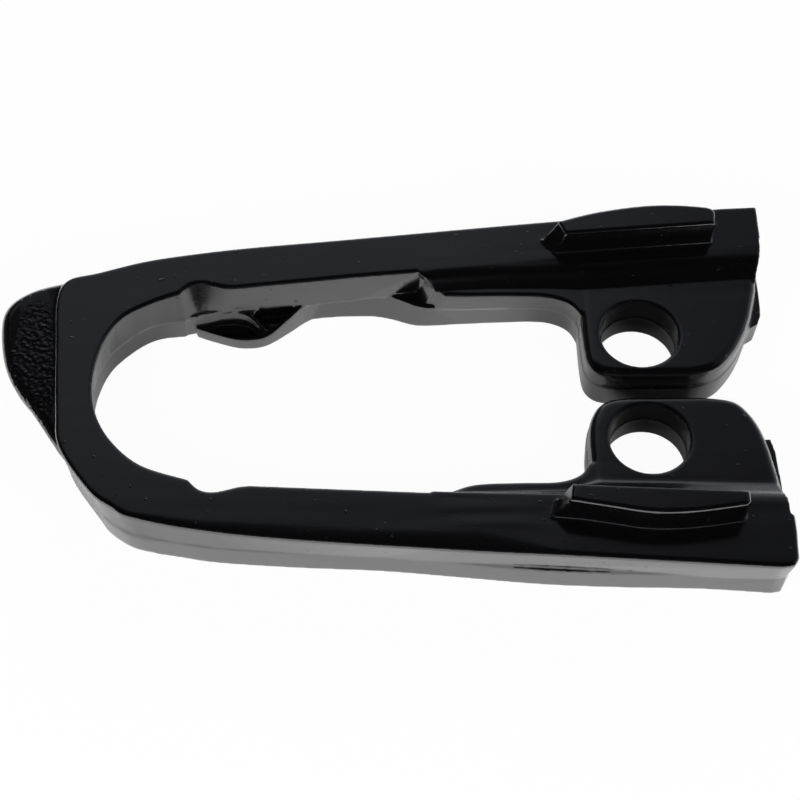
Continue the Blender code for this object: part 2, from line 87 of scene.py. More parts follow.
# Outlines as drawn on the plan
plan = {
    "outerUpper": [(27, 60.5), (-27, 55.9), (-83, 50.3), (-112, 47.5), (-130, 45.1), (-143, 42.7), (-156, 38.8),
                   (-164.5, 36.2), (-167.2, 29), (-166.2, 13), (-164.2, -9), (-162.2, -20.5), (-153.2, -34),
                   (-146.6, -39.4), (-141, -42.6), (-122, -46.8), (-95.7, -50), (-56, -53.2)],
    "upperEnd": (38.0, 61.0),
    "lowerEnd": [(31, -59.6), (34.2, -59.1), (35.6, -57.0), (36.1, -49)],
    "farOuterLower": [(-149.9, -36.6), (-146.4, -39.7), (-140.7, -42.8), (-129.6, -45), (-118.5, -46.9),
                      (-96.6, -48.7), (-74.7, -49.9), (-53, -52.1), (-31.3, -54.4), (-9.6, -55.6), (12.1, -56.3),
                      (30.9, -57.8)],
    "farLowerEnd": [(33.6, -57.4), (34.9, -55), (35.2, -49)],
    "innerLower": [(36.1, -43.5), (-23.6, -40.4), (-56.9, -37.1), (-57.2, -36.0), (-109.4, -33.1)],
    "scallopLower": [(-109.4, -33.1), (-112.6, -33.4), (-119, -34.9), (-123.2, -34.1), (-126.4, -31.0)],
    "loopInner": [(-126.4, -31.0), (-139.4, -26.3), (-148, -18.5), (-153, -9.4), (-154.6, 1), (-152.9, 12.6),
                  (-148, 22.1), (-140.1, 27.4), (-131.8, 30.9)],
    "scallopUpper": [(-131.8, 30.9), (-129, 33.6), (-125, 34.3), (-118, 32.6), (-112, 33.0)],
    "innerUpper": [(-112, 33.0), (-82.8, 36.1), (-62.0, 37.9), (-61.2, 41), (-24.5, 45.2), (37.9, 49.2)],
    "farLoop": [(-126.4, -31.0), (-139.4, -26.3), (-148.8, -18.5), (-154.4, -9.4), (-156.5, 1), (-155.4, 9.5),
                (-152.1, 17.3), (-145.4, 24.2), (-139.3, 27.6), (-131.5, 28.6)],
    "farLower": [(-60.5, -31.9), (-66, -33.9), (-83, -34.2), (-109.4, -32.9), (-126.4, -31)],
    "farUpper": [(-131.5, 29.0), (-127.8, 30.0), (-124, 31.0), (-118, 31.5), (-106, 32.0), (-92, 34.8), (-78, 35.3),
                 (-71.5, 34.3), (-65, 32.1), (-60.5, 31.6)],
    "farLedge": [(-50, 32.2), (-31, 32.8), (-23.7, 32.0), (-18.8, 29.2), (-16.5, 24.8)],
    "ledgeUpper": [(-57.8, 31.8), (-50, 31.6), (-36, 31.6), (-26, 31.0), (-19.8, 28.8), (-16.5, 24.8)],
    "ledgeUpperBack": [(-11, 24.8), (-11, 46), (-64.6, 46), (-64.6, 39.0)],
    "ledgeLower": [(-16.9, -24.8), (-20, -28.8), (-26, -30.9), (-36, -31.0), (-46, -31.2), (-51.5, -32.2),
                   (-58.6, -35.2)],
    "ledgeLowerBack": [(-58.6, -45), (-11, -45), (-11, -24.8)],
    "earUpper": [(-16.5, 24.8), (-16.3, 14), (-15.4, 7.7), (-12.2, 4.4), (-7, 3.4)],
    "earUpperEnd": [(13.5, 3.4), (21, 5.5), (26.4, 11), (30.3, 17.5), (32.8, 23.6)],
    "earLower": [(-5, -3.4), (-10.5, -4.3), (-14.2, -7.4), (-16.6, -14), (-16.9, -24.8)],
    "earLowerEnd": [(33.0, -21.5), (31.4, -14.8), (28.8, -9.2), (24.5, -4.9), (16, -3.4)],
    "earUpperBack": [(35.4, 33.5), (36.6, 53), (-16.5, 53)],
    "earLowerBack": [(-16.9, -50), (34.6, -50), (34.6, -32.5)],
    "lugUpper": [(35.6, 25.4), (36.8, 28.5), (37.1, 37)],
    "lugLower": [(35.8, -30), (35.4, -18.5), (34.5, -14.4)],
    "finUpper": [(23.4, 51.6), (20.5, 53.5), (6, 54.4), (-10, 52.2), (-22.6, 48.6)],
    "finUpperInner": [(-20.6, 43.9), (23.0, 47.2)],
    "finLower": [(-24.6, -44.0), (-14, -46.0), (-3, -47.9), (8, -47.8), (21.8, -46.0)],
    "finLowerInner": [(22.8, -45.0), (22.8, -41.6), (-23.8, -39.0)],
    "nose": [(-141, 39.8), (-158, 37.7), (-168, 36.7), (-175.4, 34.7), (-181, 30.4), (-183, 24.3), (-181.9, 13.5),
             (-178.4, 4.2), (-171.4, -5.8), (-163.9, -17.4)],
    "noseRoot": [(-156, -24), (-151, -21), (-157.5, -5), (-157.5, 10), (-152, 22), (-141, 31)],
    "tongue": [(-128.4, 28.5), (-122.5, 26.2), (-115, 24.1), (-108, 24.9), (-101, 29.6), (-96.5, 33.2),
               (-91.5, 36.0)],
    "tongueBack": [(-91.5, 38), (-128.4, 38)],
    "pocketFront": [(-124.6, 28.4), (-120.5, 26.3), (-115.5, 25.1), (-109.6, 25.4)],
    "pocketBack": [(-109.6, 25.4), (-111.2, 27.0), (-114, 28.4), (-118, 29.0), (-122, 28.8), (-124.6, 28.4)],
    "hollow": [(-111.0, 32.4), (-108.9, 29.6), (-106.4, 27.2), (-100.6, 31.4), (-97.4, 33.8)],
    "bench": [(-128.3, 28.2), (-125.0, 28.5), (-122, 28.95), (-118, 29.2), (-114, 28.6), (-111.0, 27.0),
              (-108.7, 24.9)],
    "benchBack": [(-106.8, 26.2), (-109.1, 29.2), (-111.4, 31.8), (-111.9, 36), (-128.3, 36)],
    "benchTop": [(-112.5, 9.1), (-107.3, 5.9)],    # position along the leg, height
    "benchTurn": (-114, -110.5),    # where the bench ends and its ridge begins
    "ridgeCrest": (-0.93, -75.5),    # slope and height of the line that parts the ridge's front from its back
    "upperWallLean": [(-141, -0.35), (-104, -0.35), (-98, 0.8), (-90, 1.8), (-72, 2.1), (-66, 1.4), (-57, -0.35)],
    "crownWidth": [(-150, 0.8), (-136, 2.2), (-122, 3.2), (-95, 4.6), (-64, 5.6), (-48, 6.4), (-36, 4.0), (-27, 1.6),
                   (0, 1.2), (30, 1.0)],    # position along the leg, width of its falling edge
    # place and relative width along each shoulder, then how its slope falls away from the near side
    "creaseUpper": [(-63.4, 37.75, 0.43), (-57.6, 38.5, 0.5), (-42, 40.3, 0.62), (-24.5, 42.2, 0.84),
                    (-12, 43.1, 1.0), (37.6, 46.2, 1.0)],
    "creaseLower": [(-60.6, -35.75, 0.12), (-57.0, -36.0, 0.16), (-51, -36.3, 0.24), (-23.6, -37.4, 0.42),
                    (-15, -37.9, 0.9), (35.2, -40.4, 1.0)],
    "fallUpper": [(0.0, 0.0), (4.4, 0.5), (7.0, 2.2), (9.2, 3.3), (10.6, 3.7)],
    "fallLower": [(0.0, 0.0), (2.4, 0.5), (5.0, 1.9), (7.4, 3.1), (9.4, 3.7)],
    # where the steps of the work apply
    "loopMiddle": -125, "loopSide": (39.5, 0.1),    # how far out the outer walls begin, and how that widens
    "upperWall": (20, 36),    # the band across the part that holds the upper leg's inner wall
    "lowerWallBelow": -34, "lowerEndBelow": -48,
    "loopWall": (-80, -30.9),    # inner walls left of this and above this meet the far half's
    "farFollows": 13,    # how many points of outerUpper the far half's outline keeps to
    "crownEdgeFrom": 10, "crownBelow": -30,    # the point of outerUpper where the falling edge begins
    "ledgeStart": -57, "noseRim": (-157.6, 31.1), "noseFront": (-160, -5),
    "softWall": (-136, -14, 17.8), "softEnd": (33.5, -46, 6, 13),    # smoothed places
}


def objectMode():
    if bpy.context.mode != "OBJECT":
        bpy.ops.object.mode_set(mode="OBJECT")
    bpy.ops.object.select_all(action="DESELECT")


def onlyActive(obj):
    objectMode()
    obj.select_set(True)
    bpy.context.view_layer.objects.active = obj


def straight(points):    # corners joined by straight lines
    return [list(pair) for pair in zip(points, points[1:])]


def closedBy(run, back):    # a smooth run of points, and straight lines behind it
    return [run, *straight([run[-1], *back, run[0]])]


def outlineMesh(name, runs, height, steps):    # a flat face inside a closed outline; smooth runs meet at its corners
    weld = tolerance["weld"] * mm
    objectMode()
    bpy.ops.curve.primitive_bezier_curve_add(location=(0, 0, 0))
    obj = bpy.context.object
    obj.name = name
    knots = []
    for run in runs:
        points = [Vector((*point, height) if len(point) == 2 else point) * mm for point in run]
        for i, point in enumerate(points):
            pull = (points[min(i + 1, len(points) - 1)] - points[max(i - 1, 0)]) / 6    # handles of a smooth curve
            left = point - pull if i > 0 else point
            right = point + pull if i < len(points) - 1 else point
            if knots and (knots[-1][1] - point).length < weld:
                knots[-1][2] = right
            else:
                knots.append([left, point, right])
    if (knots[0][1] - knots[-1][1]).length < weld:
        knots[0][0] = knots.pop()[0]
    spline = obj.data.splines[0]
    spline.bezier_points.add(len(knots) - len(spline.bezier_points))
    for knot, (left, point, right) in zip(spline.bezier_points, knots):
        knot.handle_left_type = knot.handle_right_type = "FREE"
        knot.co, knot.handle_left, knot.handle_right = point, left, right
    spline.use_cyclic_u = True
    spline.resolution_u = steps
    onlyActive(obj)
    bpy.ops.object.convert(target="MESH")
    bpy.ops.object.mode_set(mode="EDIT")
    bpy.ops.mesh.select_all(action="SELECT")
    bpy.ops.mesh.remove_doubles(threshold=tolerance["merge"] * mm)
    bpy.ops.mesh.dissolve_limited(angle_limit=math.radians(tolerance["straight"]))    # lines keep their ends
    bpy.ops.mesh.select_all(action="SELECT")
    bpy.ops.mesh.edge_face_add()
    bpy.ops.object.mode_set(mode="OBJECT")
    return obj


def pickFaces(obj, test):    # selects faces in code, by their place or normal, and leaves edit mode on
    onlyActive(obj)
    bpy.ops.object.mode_set(mode="EDIT")
    bpy.ops.mesh.select_mode(type="FACE")
    bpy.ops.mesh.select_all(action="DESELECT")
    bpy.ops.object.mode_set(mode="OBJECT")
    for face in obj.data.polygons:
        face.select = test(face)
    bpy.ops.object.mode_set(mode="EDIT")


def roundedEdge(radius, steps=4):    # rises and insets of a quarter round
    angles = [math.pi / 2 * i / steps for i in range(steps + 1)]
    return [(radius * (math.sin(b) - math.sin(a)), radius * (math.cos(a) - math.cos(b)))
            for a, b in zip(angles, angles[1:])]


def mitred(points, distances):    # points of a closed anticlockwise ring, moved inwards
    moved = []
    for i, (point, distance) in enumerate(zip(points, distances)):
        before, after = point - points[i - 1], points[(i + 1) % len(points)] - point
        mitre = Vector((-before.y, before.x)).normalized() + Vector((-after.y, after.x)).normalized()
        moved.append(point + mitre * distance * 2 / max(mitre.length_squared, 1.0))
    return moved


def leanCap(obj, way, lean):    # moves the rim of the upper or lower cap inwards, by a distance for each place
    level = [face for face in obj.data.polygons if face.normal.z * way > tolerance["cap"]]
    cap = max(level, key=lambda face: face.area)
    rim = [obj.data.vertices[i] for i in cap.vertices][::way]
    places = [vertex.co.xy / mm for vertex in rim]
    for vertex, place in zip(rim, mitred(places, [lean(x, y) for x, y in places])):
        vertex.co.xy = place * mm


def sortFaces():    # by distance from the cursor, since extruding leaves an order that changes from run to run
    bpy.ops.mesh.select_all(action="SELECT")
    bpy.ops.mesh.sort_elements(type="CURSOR_DISTANCE", elements={"EDGE", "FACE"})
    bpy.ops.object.mode_set(mode="OBJECT")


def flattenFaces(obj):    # splits bent faces, which would leave cracks where solids are joined
    pickFaces(obj, lambda face: abs(face.normal.z) < tolerance["wall"])
    bpy.ops.mesh.vert_connect_nonplanar(angle_limit=tolerance["bent"])
    sortFaces()


def plate(name, runs, low, high, foot=(), top=(), footLean=None, topLean=None):    # an outline extruded, then inset
    obj = outlineMesh(name, runs, low, moulding["outlineSteps"])
    onlyActive(obj)
    bpy.ops.object.mode_set(mode="EDIT")
    bpy.ops.mesh.select_all(action="SELECT")
    bpy.ops.mesh.extrude_region_move(TRANSFORM_OT_translate={"value": (0, 0, (high - low) * mm)})
    bpy.ops.mesh.select_all(action="SELECT")
    bpy.ops.mesh.normals_make_consistent(inside=False)
    bpy.ops.object.mode_set(mode="OBJECT")
    for way, lean, levels in ((-1, footLean, foot), (1, topLean, top)):
        if lean:
            leanCap(obj, way, lean)
        for rise, inwards in levels:
            pickFaces(obj, lambda face: face.normal.z * way > tolerance["level"])
            bpy.ops.mesh.extrude_region_move(TRANSFORM_OT_translate={"value": (0, 0, way * rise * mm)})
            bpy.ops.object.mode_set(mode="OBJECT")
            leanCap(obj, way, lambda x, y: inwards)
    flattenFaces(obj)
    return obj


def loft(name, profile, stations):    # a profile, extruded from station to station and scaled across each
    obj = outlineMesh(name, profile, height=0, steps=4)
    onlyActive(obj)
    bpy.ops.object.mode_set(mode="EDIT")
    bpy.ops.mesh.select_all(action="SELECT")
    for (x, y, width), (nextX, nextY, nextWidth) in zip(stations, stations[1:]):
        bpy.ops.mesh.extrude_region_move(TRANSFORM_OT_translate={
            "value": ((nextX - x) * mm, (nextY - y) * mm, 0)})
        bpy.ops.transform.resize(value=(1, nextWidth / width, 1), center_override=(nextX * mm, nextY * mm, 0))
    bpy.ops.mesh.select_all(action="SELECT")
    bpy.ops.mesh.normals_make_consistent(inside=False)
    flattenFaces(obj)
    return obj


def applied(obj, kind, **settings):    # adds a modifier and applies it
    onlyActive(obj)
    modifier = obj.modifiers.new(kind.lower(), kind)
    for key, value in settings.items():
        setattr(modifier, key, value)
    bpy.ops.object.modifier_apply(modifier=modifier.name)


def cut(target, *tools):    # cuts the tools out of a solid, and leaves them for the next
    for tool in tools:
        applied(target, "BOOLEAN", operation="DIFFERENCE", solver="EXACT", object=tool)
        print("  ", tool.name, "cut from", target.name, len(target.data.polygons), "faces")
    return target


def outerSide(x, y):    # true on the outer wall of the legs and the loop
    fromLoop = x - plan["loopMiddle"]
    side, widening = plan["loopSide"]
    return math.hypot(min(fromLoop, 0), y) > side + widening * max(fromLoop, 0)


def clamped(value):
    return min(max(value, 0), 1)


def besideLine(x, y, line):    # distance from a line of points, positive on its left
    nearest = (math.inf, 1)
    for (fromX, fromY), (toX, toY) in zip(line, line[1:]):
        alongX, alongY = toX - fromX, toY - fromY
        share = ((x - fromX) * alongX + (y - fromY) * alongY) / (alongX ** 2 + alongY ** 2)
        share = clamped(share)
        gap = math.hypot(x - fromX - share * alongX, y - fromY - share * alongY)
        nearest = min(nearest, (gap, alongX * (y - fromY) - alongY * (x - fromX)))
    return math.copysign(*nearest)


def between(value, points):    # reads a line of (position, amount) pairs
    for (low, start), (high, end) in zip(points, points[1:]):
        if value <= high:
            return start + (end - start) * clamped((value - low) / (high - low))
    return points[-1][1]


def farTop(x, y):    # how far the far half's wall leans in at the parting plane: out, but in along the upper leg
    low, high = plan["upperWall"]
    return between(x, plan["upperWallLean"]) if low < y < high else -moulding["farDraft"]


def nearFoot(x, y):    # how far the near half's wall leans in, to meet the far half's at the parting plane
    m, p = moulding, plan
    loopEnd, loopLow = p["loopWall"]
    if y < p["lowerEndBelow"] or (y < p["lowerWallBelow"] and outerSide(x, y)):
        meeting = farTop(x, y) + m["partingStep"] - besideLine(x, y, [*p["farOuterLower"], *p["farLowerEnd"]])
        share = min((p["lowerWallBelow"] - y) / m["wallBlend"], 1)
        return share * meeting + (1 - share) * m["outerDraft"]
    if outerSide(x, y):
        return m["outerDraft"]
    if x < loopEnd and y > loopLow:
        return farTop(x, y) - besideLine(x, y, [*p["farLoop"], *p["farUpper"][1:]])
    return 0


def nearHalf():    # legs and loop above the parting plane, whose walls lean to meet the far half
    m, p = moulding, plan
    runs = [*straight([p["upperEnd"], p["outerUpper"][0]]), p["outerUpper"],
            *straight([p["outerUpper"][-1], *p["lowerEnd"], *p["innerLower"]]),
            p["scallopLower"], p["loopInner"], p["scallopUpper"],
            *straight([*p["innerUpper"], p["upperEnd"]])]
    return plate("legs", runs, m["parting"] - m["overlap"], m["bodyTop"] - m["edgeRound"],
                 top=roundedEdge(m["edgeRound"]), footLean=nearFoot)


def farHalf():    # legs, loop and ears below the parting plane, where every wall leans out towards it
    m, p = moulding, plan
    outer = [Vector(point) for point in [p["upperEnd"], *p["outerUpper"], *p["lowerEnd"]]]
    inwards = m["outerDraft"] + m["farDraft"]
    outer = [tuple(point) for point in mitred(outer, [inwards] * len(outer))][1:1 + p["farFollows"]]
    mirrored = [p["earLower"][-1], *[(x, -y) for x, y in reversed(p["farLedge"][:-1])]]
    corner = tuple(value - inwards for value in p["upperEnd"])
    runs = [*straight([corner, outer[0]]), outer, *straight([outer[-1], p["farOuterLower"][0]]), p["farOuterLower"],
            *straight([p["farOuterLower"][-1], *p["farLowerEnd"], *p["lugLower"], p["earLowerEnd"][1]]),
            p["earLowerEnd"][1:], *straight([p["earLowerEnd"][-1], p["earLower"][0]]), p["earLower"],
            *straight([p["earLower"][-1], mirrored[0]]), mirrored, *straight([mirrored[-1], *p["farLower"]]),
            p["farLoop"], p["farUpper"], *straight([p["farUpper"][-1], p["farLedge"][0]]), p["farLedge"],
            p["earUpper"], *straight([p["earUpper"][-1], p["earUpperEnd"][0]]), p["earUpperEnd"],
            *straight([p["earUpperEnd"][-1], *p["lugUpper"], corner])]
    return plate("far_half", runs, m["farRound"], m["parting"], foot=roundedEdge(m["farRound"], steps=3),
                 topLean=farTop)


def ear(name, runs, height, radius):    # an ear or a ledge above the parting plane
    return plate(name, runs, moulding["parting"] - moulding["overlap"], height - radius,
                 top=roundedEdge(radius, steps=6))


def shoulder(name, crease, fall, side, startSlant=0, startLean=0):    # the slope from a leg's near side to its ear
    m = moulding
    top = m["bodyTop"] - m["shoulderDrop"]
    stations = crease[::-1]
    x, y, _ = stations[0]
    slope = [(x, y - side * offset, top - drop) for offset, drop in fall]
    deep = y + m["shoulderBack"] * side
    back = [(x, deep, m["parting"]), (x, deep, top)]
    end = (x, slope[-1][1], m["parting"])
    obj = loft(name, [*straight([end, *back, slope[0]]), slope, *straight([slope[-1], end])], stations)
    startX, startY, _ = crease[0]
    for vertex in obj.data.vertices:    # both ends are cut at a slant
        if vertex.co.x > 0:
            vertex.co.x -= m["endSlant"] * max(side * (y * mm - vertex.co.y), 0)
        elif vertex.co.x < (startX + tolerance["end"]) * mm:
            vertex.co.x += startSlant * max(side * (startY * mm - vertex.co.y), 0)
            vertex.co.x -= startLean * (top * mm - vertex.co.z)
    flattenFaces(obj)
    return obj


def fin(name, outer, inner):    # a fin on a leg's near side, whose left end is a ramp
    m = moulding
    obj = plate(name, closedBy(outer, inner), m["bodyTop"] - m["overlap"],
                m["bodyTop"] + m["finRise"] - m["finRound"], top=roundedEdge(m["finRound"], steps=3))
    left = min(x for x, _ in outer)
    for vertex in obj.data.vertices:
        if vertex.co.z < m["bodyTop"] * mm:
            share = clamped((left + m["finRampRun"] - vertex.co.x / mm) / m["finRampRun"])
            vertex.co.x -= m["finRamp"] * mm * share
    flattenFaces(obj)
    return obj


def nose():    # the lobe past the loop's closed end, whose top falls away from the loop
    m, p = moulding, plan
    (rimX, rimY), (frontX, frontY) = p["noseRim"], p["noseFront"]

    def lean(x, y):    # the rim leans in towards the front, and the root does not
        onRim = x < rimX or y > rimY or (y < frontY and x < frontX)
        return m["noseLean"] * onRim * clamped(1 - y / m["noseLeanRun"])

    obj = plate("nose", closedBy(p["nose"], p["noseRoot"]), m["farRound"], m["noseTop"] - m["noseRound"],
                foot=roundedEdge(m["farRound"], steps=3), top=roundedEdge(m["noseRound"], steps=6), footLean=lean)
    for vertex in obj.data.vertices:    # the top falls away to the left, and to both sides of its crest
        fall = m["noseSlope"] * max(m["noseSlopeFrom"] * mm - vertex.co.x, 0)
        fall += m["noseFall"] * max(m["noseCrest"] * mm - vertex.co.y, 0)
        beyond = max(vertex.co.y / mm - m["noseCrest"], 0)
        fall += m["noseBackFall"] * beyond ** 2 * mm * (vertex.co.x < frontX * mm)
        vertex.co.z -= fall * vertex.co.z / (m["noseTop"] * mm)
    flattenFaces(obj)
    return obj


def tongue():    # the far half's tongue on the upper leg
    m, p = moulding, plan
    obj = plate("tongue", closedBy(p["tongue"], p["tongueBack"]), m["farRound"], m["tongueTop"] - m["tongueRound"],
                foot=roundedEdge(m["farRound"], steps=3), top=roundedEdge(m["tongueRound"], steps=3))
    for vertex in obj.data.vertices:    # its rim climbs to the ledge on the right
        if vertex.co.z > m["tongueTop"] / 2 * mm:
            vertex.co.z += m["rimRise"] * mm * clamped((vertex.co.x / mm - m["rimFrom"]) / m["rimRun"])
    flattenFaces(obj)
    return obj


def bench():    # the slanted step round the back of the tongue's pocket, which ends as a ridge at the tongue's tip
    m, p = moulding, plan
    foot, top = m["benchFoot"], p["benchTop"][0][1]
    (benchEnd, ridgeStart), (crestSlope, crestHeight) = p["benchTurn"], p["ridgeCrest"]

    def lean(x, y):
        ridgeLean = m["ridgeFront"] if y < crestSlope * x + crestHeight else m["ridgeBack"]
        return between(x, [(benchEnd, m["benchLean"]), (ridgeStart, ridgeLean)])

    obj = plate("bench", closedBy(p["bench"], p["benchBack"]), foot, top, topLean=lean)
    for vertex in obj.data.vertices:    # its top falls along the ridge
        height = between(vertex.co.x / mm, p["benchTop"])
        vertex.co.z = (foot + (vertex.co.z / mm - foot) * (height - foot) / (top - foot)) * mm
    flattenFaces(obj)
    return obj


def boltHole(y):    # a bore that narrows from both faces to a ring, where the two halves of the mould met
    m = moulding
    wide, narrow, step = m["holeRadius"], m["boreRing"], m["ringStep"]
    top, ring, chamfer, past = m["earTop"], m["boreRingAt"], m["holeChamfer"], m["borePast"]
    levels = [(-past, wide + m["boreFlare"]), (m["boreFlareTop"], wide), (ring - m["ringFoot"], narrow + step),
              (ring - m["ringUnder"], narrow), (ring, narrow), (ring + m["ringOver"], wide - step),
              (top - chamfer, wide - m["boreTaper"]), (top + past, wide - m["boreTaper"] + chamfer + past)]
    objectMode()
    bpy.ops.mesh.primitive_circle_add(vertices=m["boreFacets"], radius=levels[0][1] * mm, fill_type="NGON",
                                      location=(0, y * mm, levels[0][0] * mm))
    bore = bpy.context.object
    bore.name = "bore"
    bpy.ops.object.transform_apply(location=True, rotation=True, scale=True)
    bpy.ops.object.mode_set(mode="EDIT")
    bpy.ops.mesh.select_all(action="SELECT")
    for (low, radius), (high, nextRadius) in zip(levels, levels[1:]):
        bpy.ops.mesh.extrude_region_move(TRANSFORM_OT_translate={"value": (0, 0, (high - low) * mm)})
        grow = nextRadius / radius
        bpy.ops.transform.resize(value=(grow, grow, 1), center_override=(0, y * mm, high * mm))
    bpy.ops.mesh.select_all(action="SELECT")
    bpy.ops.mesh.normals_make_consistent(inside=False)
    sortFaces()
    return bore


print("moulding the legs, ears and nose")
p, m = plan, moulding
bpy.context.scene.cursor.location = sortFrom
pocket = plate("pocket", [p["pocketFront"], p["pocketBack"]], m["tongueTop"] - m["pocketDepth"],
               m["tongueTop"] + m["pocketOpen"])
hollow = plate("hollow", straight([*p["hollow"], p["hollow"][0]]), m["tongueTop"] - m["hollowDepth"],
               m["parting"] + m["hollowOpen"])
bores = [boltHole(side * m["holeOffset"]) for side in (1, -1)]
upperEar = ear("upper_ear", [p["earUpper"], *straight([p["earUpper"][-1], p["earUpperEnd"][0]]), p["earUpperEnd"],
                             *straight([p["earUpperEnd"][-1], *p["earUpperBack"], p["earUpper"][0]])],
               m["earTop"], m["earRound"])
lowerEar = ear("lower_ear", [*straight([*p["earLowerBack"], p["earLowerEnd"][0]]), p["earLowerEnd"],
                             *straight([p["earLowerEnd"][-1], p["earLower"][0]]), p["earLower"],
                             *straight([p["earLower"][-1], p["earLowerBack"][0]])],
               m["earTop"], m["earRound"])
ledgeTop = m["earTop"] - m["ledgeDrop"]
upperLedge = ear("upper_ledge", closedBy(p["ledgeUpper"], p["ledgeUpperBack"]), ledgeTop, m["ledgeRound"])
for vertex in upperLedge.data.vertices:    # its left end leans as the shoulder's does
    if vertex.co.x < p["ledgeStart"] * mm:
        vertex.co.x += m["startLean"] * (vertex.co.z - m["parting"] * mm)
flattenFaces(upperLedge)
lowerLedge = ear("lower_ledge", closedBy(p["ledgeLower"], p["ledgeLowerBack"]), ledgeTop, m["ledgeRound"])
solids = [
    nearHalf(), cut(farHalf(), pocket, hollow, *bores), cut(upperEar, bores[0]), cut(lowerEar, bores[1]),
    upperLedge, lowerLedge,
    shoulder("upper_shoulder", p["creaseUpper"], p["fallUpper"], 1, m["startSlant"], m["startLean"]),
    shoulder("lower_shoulder", p["creaseLower"], p["fallLower"], -1), nose(),
]
print("adding the fins and the tongue")
solids += [fin("upper_fin", p["finUpper"], p["finUpperInner"]), fin("lower_fin", p["finLower"], p["finLowerInner"]),
           cut(tongue(), pocket, hollow), bench()]
for tool in (pocket, hollow, *bores):
    bpy.data.objects.remove(tool, do_unlink=True)


def crown(obj):    # the lower leg's near face falls away along its outer edge
    m, p = moulding, plan
    edge = p["outerUpper"][p["crownEdgeFrom"]:] + p["lowerEnd"][:1]
    for vertex in obj.data.vertices:
        x, y, z = vertex.co / mm
        if z > m["parting"] and y < p["crownBelow"]:
            width = between(x, p["crownWidth"])
            inside = besideLine(x, y, edge)
            if inside < width:
                share = 1 - max(inside, 0) / width
                rise = clamped((z - m["crownFrom"]) / m["crownRun"])
                vertex.co.z -= m["crownFall"] * width * share ** 2 * rise * mm


relief = {
    "nose": (-172.6, 7.0), "noseReach": (7.2, 23.0), "noseFade": (1.6, 1.3),    # middle, half sizes, how it fades out
    "lowest": 8.0, "lowestRun": 3,
    "pit": (0.95, 0.6), "pitDepth": 0.24, "pitBias": 0.45, "finePit": 0.6, "finePitShift": 7,
    "wave": (24.0, 4.2), "waveHeight": 0.11, "waveOnLegs": 0.25, "waveHeights": (12, 19.5),
    "shoulderFrom": -66, "shoulderRun": 8, "shoulderBand": (28, 48), "shoulderFade": 3,
}


def softened(obj, name, test):    # takes steps and hard corners out of one place
    group = obj.vertex_groups.new(name=name)
    group.add([vertex.index for vertex in obj.data.vertices if test(*(vertex.co / mm))], 1.0, "REPLACE")
    applied(obj, "SMOOTH", factor=moulding["smoothShare"], iterations=moulding["softening"], vertex_group=name)


def roughened(obj):    # pits where the mould was filled, at the nose, and faint waves along the legs and shoulders
    r = relief
    (noseX, noseY), (reachX, reachY), (middle, fade) = r["nose"], r["noseReach"], r["noseFade"]
    (across, along), (wide, narrow), (low, high) = r["pit"], r["wave"], r["waveHeights"]
    innerSide, outerEdge = r["shoulderBand"]
    moves = []
    for vertex in obj.data.vertices:
        x, y, z = vertex.co / mm
        away = math.hypot((x - noseX) / reachX, (y - noseY) / reachY)
        pitted = clamped(middle - fade * away ** 3) * clamped((z - r["lowest"]) / r["lowestRun"])
        pit = noise.noise(Vector((x / across, y / along, z / along)))
        pit += r["finePit"] * noise.noise(Vector((x / along, y / along, r["finePitShift"] + z / along)))
        onShoulder = clamped((x - r["shoulderFrom"]) / r["shoulderRun"])
        onShoulder *= clamped(min(abs(y) - innerSide, outerEdge - abs(y)) / r["shoulderFade"])
        waved = r["waveOnLegs"] + (1 - r["waveOnLegs"]) * onShoulder * (low < z < high)
        wave = noise.noise(Vector((x / wide, y / narrow, z / narrow)))
        moves.append(vertex.normal * wave * waved * r["waveHeight"] * mm
                     + Vector((0, 0, (pit - r["pitBias"]) * pitted * r["pitDepth"] * mm)))
    for vertex, move in zip(obj.data.vertices, moves):
        vertex.co += move


print("blending the moulding")
objectMode()
for solid in solids:
    solid.select_set(True)
slider = solids[0]
bpy.context.view_layer.objects.active = slider
bpy.ops.object.join()
applied(slider, "REMESH", mode="VOXEL", voxel_size=m["voxel"] * mm, adaptivity=0.0)
print("   voxels", len(slider.data.polygons), "faces")
applied(slider, "SMOOTH", factor=m["smoothShare"], iterations=m["smoothing"])
wallX, wallY, wallTop = p["softWall"]
softened(slider, "wall", lambda x, y, z: x < wallX and y < wallY and z < wallTop and outerSide(x, y))
endX, endY, endLow, endHigh = p["softEnd"]
softened(slider, "end", lambda x, y, z: x > endX and y < endY and endLow < z < endHigh)
crown(slider)
roughened(slider)
applied(slider, "DECIMATE", ratio=min(1.0, m["triangles"] / (2 * len(slider.data.polygons))))
print("   decimated to", len(slider.data.polygons), "faces")
onlyActive(slider)
slider.name = slider.data.name = "chainSliderMoulding"
bpy.ops.object.mode_set(mode="EDIT")
bpy.ops.mesh.select_all(action="SELECT")
bpy.ops.transform.translate(value=planToRow)
bpy.ops.object.mode_set(mode="OBJECT")
for vertex in slider.data.vertices:    # no point stands out of the part's box
    vertex.co = [min(max(value, low), high) for value, low, high in zip(vertex.co, *cadBox)]
bpy.ops.object.shade_smooth()


def linear(colour):    # sRGB hex to linear
    values = [int(colour[i:i + 2], 16) / 255 for i in (1, 3, 5)]
    return (*[v / 12.92 if v <= 0.04045 else ((v + 0.055) / 1.055) ** 2.4 for v in values], 1.0)


def addNode(tree, kind, settings=None, inputs=None):    # a node; its inputs are values or output sockets
    node = tree.nodes.new(kind)
    for key, value in (settings or {}).items():
        setattr(node, key, value)
    for key, value in (inputs or {}).items():
        if isinstance(value, bpy.types.NodeSocket):
            tree.links.new(value, node.inputs[key])
        else:
            node.inputs[key].default_value = value
    return node


